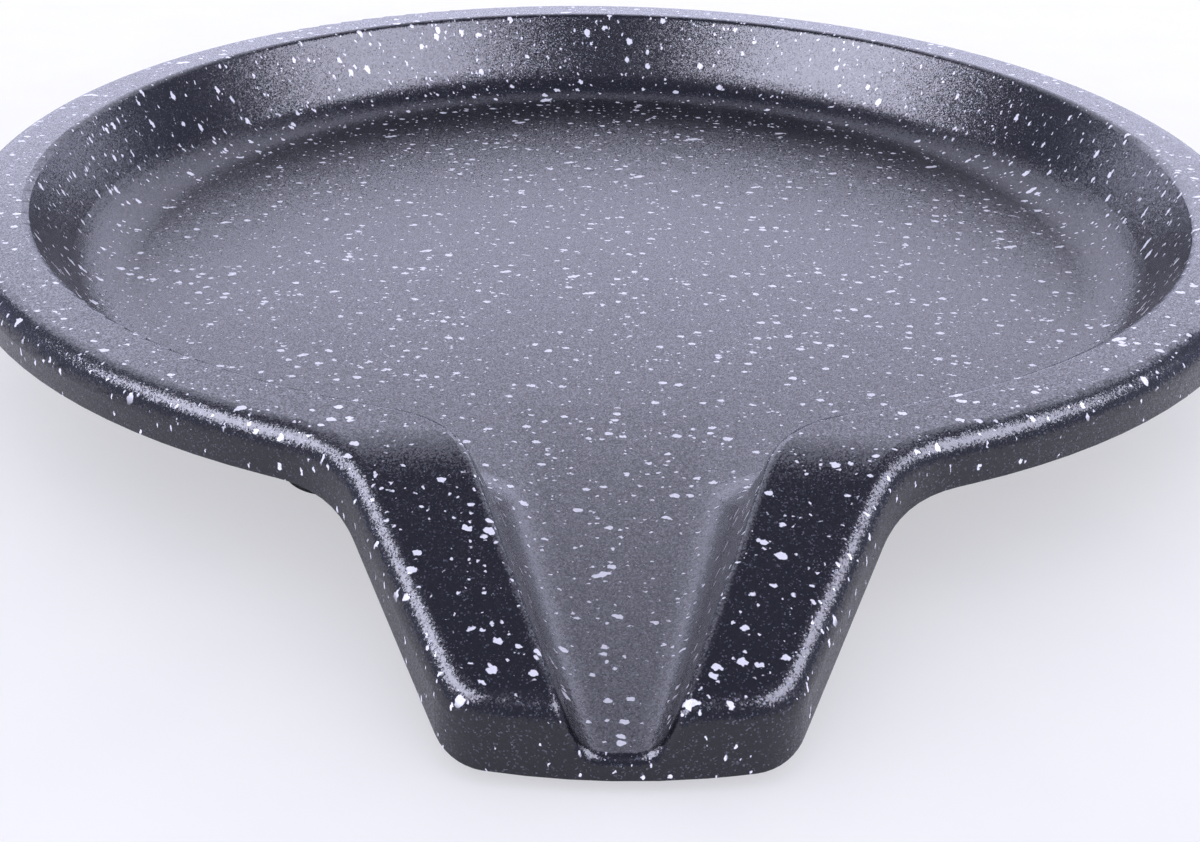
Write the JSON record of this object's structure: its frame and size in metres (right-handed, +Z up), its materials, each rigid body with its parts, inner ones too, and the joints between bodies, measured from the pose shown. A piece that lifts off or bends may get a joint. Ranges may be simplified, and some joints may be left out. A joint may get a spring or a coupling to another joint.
{
  "type": "grill pan",
  "caption": "Round shallow cast grill pan with a flat rim, a smooth flat floor with a rounded foot to its wall, and a sloping trapezoid pouring spout, standing on round feet.",
  "frame": {"origin": "centre of the flat underside of the round base", "axes": "+Z up through the open top, -Y out along the pouring spout, +X to the right of a person who faces the spout"},
  "size_m": [0.33, 0.375, 0.036],
  "materials": {
    "coated_casting": "cast aluminium under a satin charcoal non-stick coating with fine metallic grain and white flecks",
    "foot_rubber": "matt black heat-resistant silicone rubber",
    "fastener_steel": "plain stainless steel"
  },
  "bodies": {
    "root": {"pan_body": "coated_casting", "foot_front_right": "foot_rubber", "foot_rear_right": "foot_rubber", "foot_rear_left": "foot_rubber", "foot_front_left": "foot_rubber", "foot_washers": "fastener_steel", "foot_screws": "fastener_steel"}
  },
  "joints": []
}
